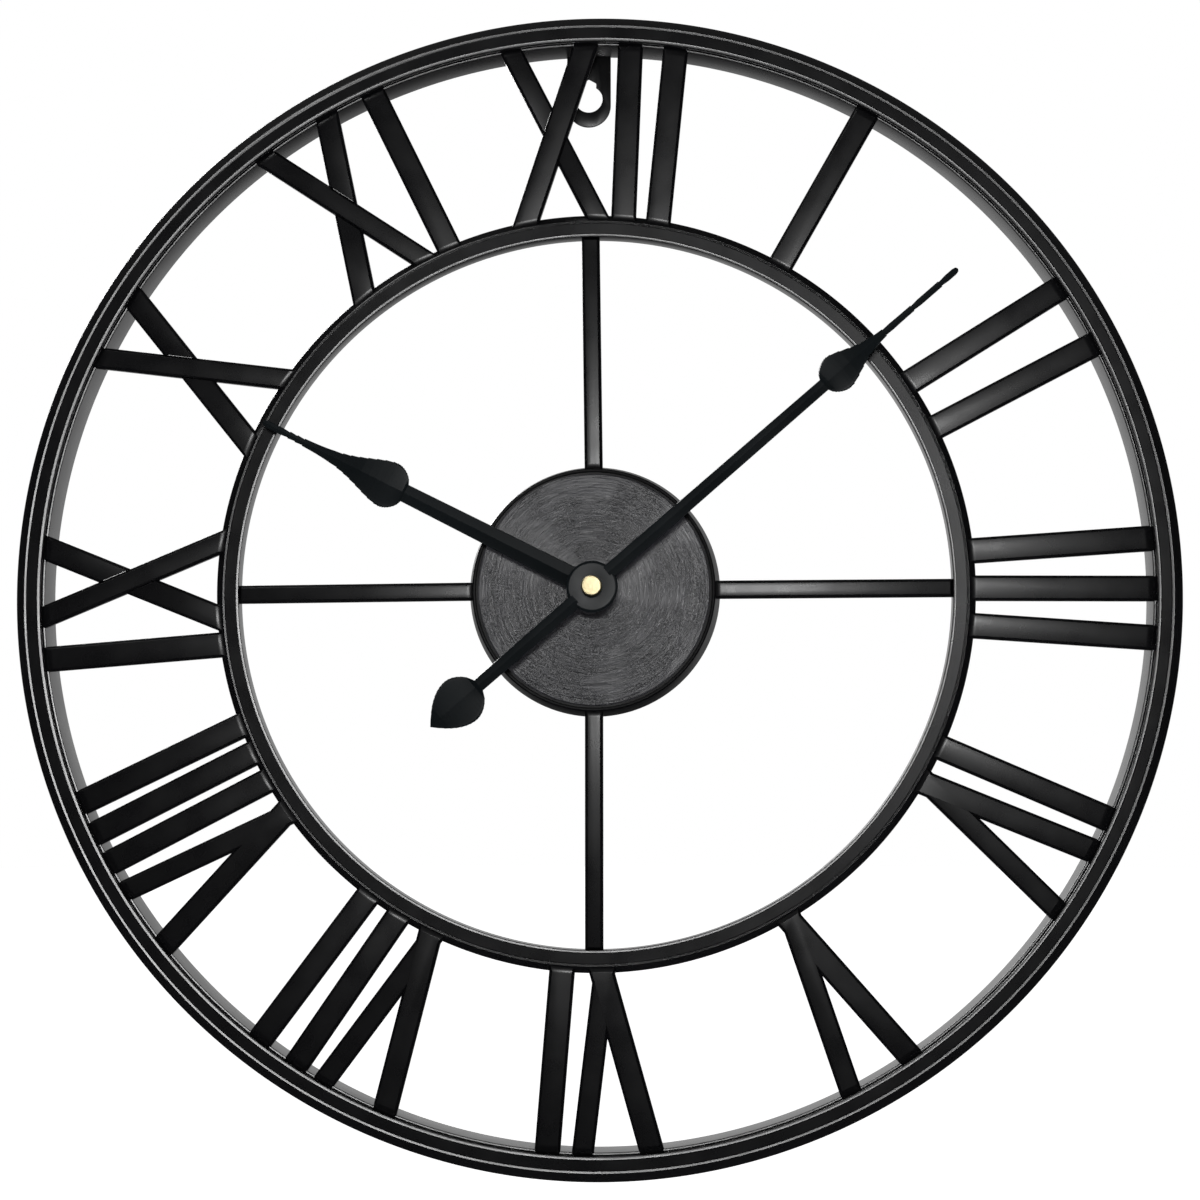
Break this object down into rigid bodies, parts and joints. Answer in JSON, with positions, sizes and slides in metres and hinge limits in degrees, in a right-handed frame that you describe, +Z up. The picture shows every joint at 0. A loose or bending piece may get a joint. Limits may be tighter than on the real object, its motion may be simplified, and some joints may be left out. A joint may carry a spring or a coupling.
{
  "type": "wall clock",
  "caption": "Round open-frame wall clock of black metal rings joined by large Roman numerals and spokes, with spade hands, a spun centre disc and a battery movement.",
  "frame": {"origin": "centre of the whole clock's box: on the hands' axis, half-way between the wall plane and the front of the cap nut", "axes": "+Z up towards twelve, +Y towards the wall, so the dial faces -Y; +X towards three"},
  "size_m": [0.5015, 0.0396, 0.5014],
  "materials": {
    "frame_black": "satin black powder coat on pressed and welded steel sheet",
    "numeral_black": "satin black powder coat on pressed steel trays",
    "spun_metal": "dark gunmetal lacquer on a spun disc with fine rings",
    "hand_black": "satin black lacquer on folded sheet",
    "brass": "polished, lightly plated",
    "contact_steel": "plain nickel-plated sheet",
    "arbor_steel": "turned and polished",
    "case_plastic": "moulded, fine texture",
    "knob_plastic": "moulded, knurled edge",
    "bobbin_plastic": "moulded, natural",
    "gear_plastic": "moulded acetal, natural",
    "gasket_rubber": "plain matt",
    "copper_wire": "enamelled copper wire, layer wound",
    "board": "solder-masked board",
    "battery_sleeve": "plain printed sleeve with no marking"
  },
  "bodies": {
    "clock_frame": {"outer_ring": "frame_black", "hoop": "frame_black", "inner_ring": "frame_black", "spoke_top": "frame_black", "spoke_right": "frame_black", "spoke_bottom": "frame_black", "spoke_left": "frame_black", "dial_pan": "frame_black", "dial_plate": "spun_metal", "hanger_plate": "frame_black", "numeral_01_bar": "numeral_black", "numeral_02_bars": "numeral_black", "numeral_03_bars": "numeral_black", "numeral_04_bar": "numeral_black", "numeral_04_v": "numeral_black", "numeral_05_v": "numeral_black", "numeral_06_v": "numeral_black", "numeral_06_bar": "numeral_black", "numeral_07_v": "numeral_black", "numeral_07_bars": "numeral_black", "numeral_08_v": "numeral_black", "numeral_08_bars": "numeral_black", "numeral_09_bar": "numeral_black", "numeral_09_x_bar": "numeral_black", "numeral_09_x_halves": "numeral_black", "numeral_10_x_bar": "numeral_black", "numeral_10_x_halves": "numeral_black", "numeral_11_x_bar": "numeral_black", "numeral_11_x_halves": "numeral_black", "numeral_11_bar": "numeral_black", "numeral_12_x_bar": "numeral_black", "numeral_12_x_halves": "numeral_black", "numeral_12_bars": "numeral_black", "movement_case": "case_plastic", "movement_cover": "case_plastic", "train_plate": "case_plastic", "battery_contacts": "contact_steel", "clamp_nut": "brass", "clamp_washer": "brass", "gasket": "gasket_rubber", "coil_bobbin": "bobbin_plastic", "coil_winding": "copper_wire", "stator": "contact_steel", "circuit_board": "board", "quartz_crystal": "contact_steel"},
    "minute_hand_set": {"minute_arbor": "arbor_steel", "minute_hand": "hand_black", "minute_hand_bush": "brass", "cap_nut": "brass"},
    "hour_hand_set": {"hour_wheel": "gear_plastic", "hour_hand": "hand_black", "hour_hand_bush": "brass"},
    "minute_wheel_body": {"minute_wheel": "gear_plastic"},
    "setting_knob_body": {"setting_knob": "knob_plastic"},
    "second_wheel_body": {"second_wheel": "gear_plastic"},
    "third_wheel_body": {"third_wheel": "gear_plastic"},
    "center_wheel_body": {"center_wheel": "gear_plastic"},
    "fifth_wheel_body": {"fifth_wheel": "gear_plastic"},
    "rotor_body": {"rotor": "gear_plastic"},
    "battery_body": {"battery": "battery_sleeve"}
  },
  "joints": [
    {"name": "minute_turn", "type": "hinge", "parent": "clock_frame", "child": "minute_hand_set", "pos_m": [0, -0.00025, 0], "axis": [0, 1, 0], "continuous": true},
    {"name": "hour_turn", "type": "hinge", "parent": "clock_frame", "child": "hour_hand_set", "pos_m": [0, -0.00025, 0], "axis": [0, 1, 0], "continuous": true},
    {"name": "minute_wheel_turn", "type": "hinge", "parent": "clock_frame", "child": "minute_wheel_body", "pos_m": [0.0108, 0.00675, 0], "axis": [0, 1, 0], "continuous": true},
    {"name": "setting_knob_turn", "type": "hinge", "parent": "clock_frame", "child": "setting_knob_body", "pos_m": [0.0162, 0.01175, 0.00935], "axis": [0, 1, 0], "continuous": true},
    {"name": "second_wheel_turn", "type": "hinge", "parent": "clock_frame", "child": "second_wheel_body", "pos_m": [0, 0.01375, 0], "axis": [0, 1, 0], "continuous": true},
    {"name": "third_wheel_turn", "type": "hinge", "parent": "clock_frame", "child": "third_wheel_body", "pos_m": [0, 0.01275, 0.0085], "axis": [0, 1, 0], "continuous": true},
    {"name": "center_wheel_turn", "type": "hinge", "parent": "clock_frame", "child": "center_wheel_body", "pos_m": [0, 0.01025, 0], "axis": [0, 1, 0], "continuous": true},
    {"name": "fifth_wheel_turn", "type": "hinge", "parent": "clock_frame", "child": "fifth_wheel_body", "pos_m": [-0.00758, 0.01375, 0.00438], "axis": [0, 1, 0], "continuous": true},
    {"name": "rotor_turn", "type": "hinge", "parent": "clock_frame", "child": "rotor_body", "pos_m": [-0.01133, 0.01175, 0.01087], "axis": [0, 1, 0], "continuous": true},
    {"name": "battery_out", "type": "slide", "parent": "clock_frame", "child": "battery_body", "axis": [0, 1, 0], "range_m": [0, 0.02]}
  ],
  "couplings": [
    {"joint": "minute_wheel_turn", "follows": "minute_turn", "ratio": -0.33333},
    {"joint": "hour_turn", "follows": "minute_turn", "ratio": 0.083333},
    {"joint": "setting_knob_turn", "follows": "minute_turn", "ratio": 1},
    {"joint": "fifth_wheel_turn", "follows": "rotor_turn", "ratio": -0.2},
    {"joint": "second_wheel_turn", "follows": "rotor_turn", "ratio": 0.033333},
    {"joint": "third_wheel_turn", "follows": "rotor_turn", "ratio": -0.0044444},
    {"joint": "center_wheel_turn", "follows": "rotor_turn", "ratio": 0.00055556}
  ]
}
